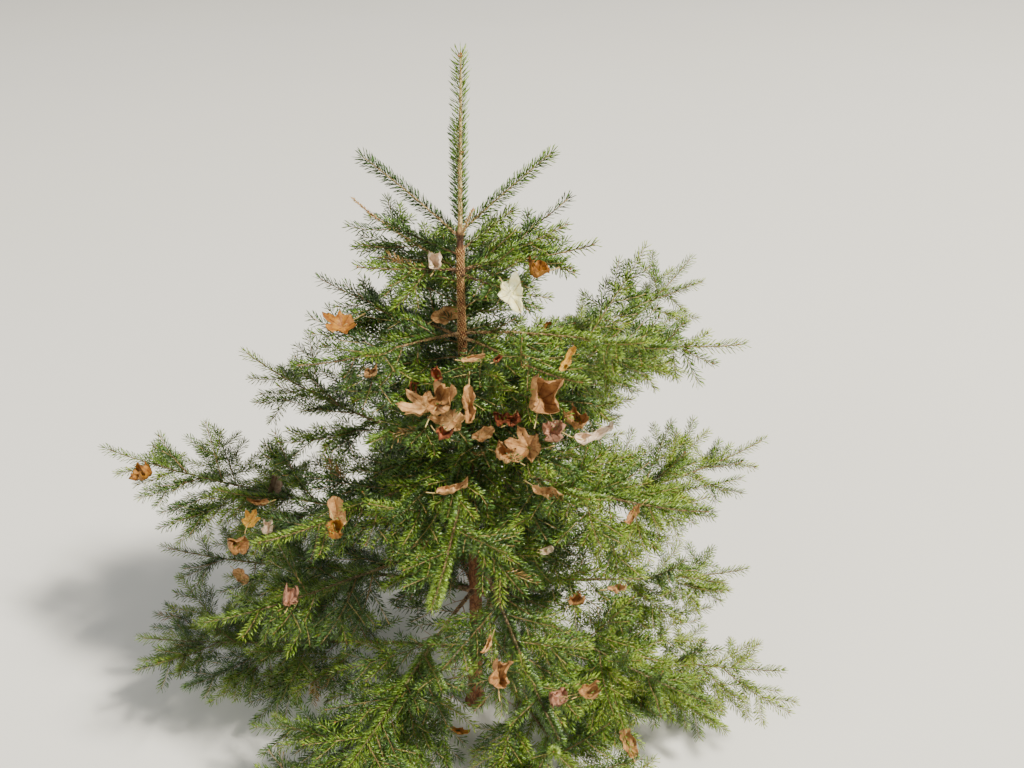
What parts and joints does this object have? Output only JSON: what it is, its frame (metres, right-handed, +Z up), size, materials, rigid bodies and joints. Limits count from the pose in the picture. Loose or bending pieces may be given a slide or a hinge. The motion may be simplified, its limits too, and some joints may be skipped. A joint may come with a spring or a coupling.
{
  "type": "young spruce tree",
  "caption": "Young spruce tree with a straight trunk, spaced whorls of boughs carrying open sprays of needles, and a long upright leader",
  "frame": {"origin": "centre of the flat cut under the trunk, at ground level", "axes": "+Z up along the trunk, +X to the right and +Y away as the picture was taken"},
  "size_m": [1.163, 0.9339, 1.15],
  "materials": {
    "bark": "rough reddish-brown young bark with needle pegs",
    "needles": "half-gloss green needles, yellow-green on this year's shoots"
  },
  "bodies": {
    "root": {"trunk": "bark", "leader_needles": "needles", "bough_tier1_1": "bark", "bough_tier1_2": "bark", "bough_tier1_3": "bark", "bough_tier1_4": "bark", "bough_tier1_5": "bark", "bough_tier2_1": "bark", "bough_tier2_2": "bark", "bough_tier2_3": "bark", "bough_tier2_4": "bark", "bough_tier2_5": "bark", "bough_tier3_1": "bark", "bough_tier3_2": "bark", "bough_tier3_3": "bark", "bough_tier3_4": "bark", "bough_tier3_5": "bark", "bough_tier4_1": "bark", "bough_tier4_2": "bark", "bough_tier4_3": "bark", "bough_tier4_4": "bark", "bough_tier4_5": "bark", "bough_tier4_6": "bark", "foliage_tier1_1": "needles", "foliage_tier1_2": "needles", "foliage_tier1_3": "needles", "foliage_tier1_4": "needles", "foliage_tier1_5": "needles", "foliage_tier2_1": "needles", "foliage_tier2_2": "needles", "foliage_tier2_3": "needles", "foliage_tier2_4": "needles", "foliage_tier2_5": "needles", "foliage_tier3_1": "needles", "foliage_tier3_2": "needles", "foliage_tier3_3": "needles", "foliage_tier3_4": "needles", "foliage_tier3_5": "needles", "foliage_tier4_1": "needles", "foliage_tier4_2": "needles", "foliage_tier4_3": "needles", "foliage_tier4_4": "needles", "foliage_tier4_5": "needles", "foliage_tier4_6": "needles", "foliage_tier5_1": "needles", "foliage_tier5_2": "needles", "foliage_tier5_3": "needles", "foliage_tier5_4": "needles", "foliage_tier5_5": "needles", "foliage_tier6_1": "needles", "foliage_tier6_2": "needles", "foliage_tier6_3": "needles", "foliage_tier6_4": "needles", "foliage_tier6_5": "needles", "foliage_tier7_1": "needles", "foliage_tier7_2": "needles", "foliage_tier8_1": "needles", "foliage_tier8_2": "needles", "foliage_tier8_3": "needles", "foliage_tier8_4": "needles"}
  },
  "joints": []
}
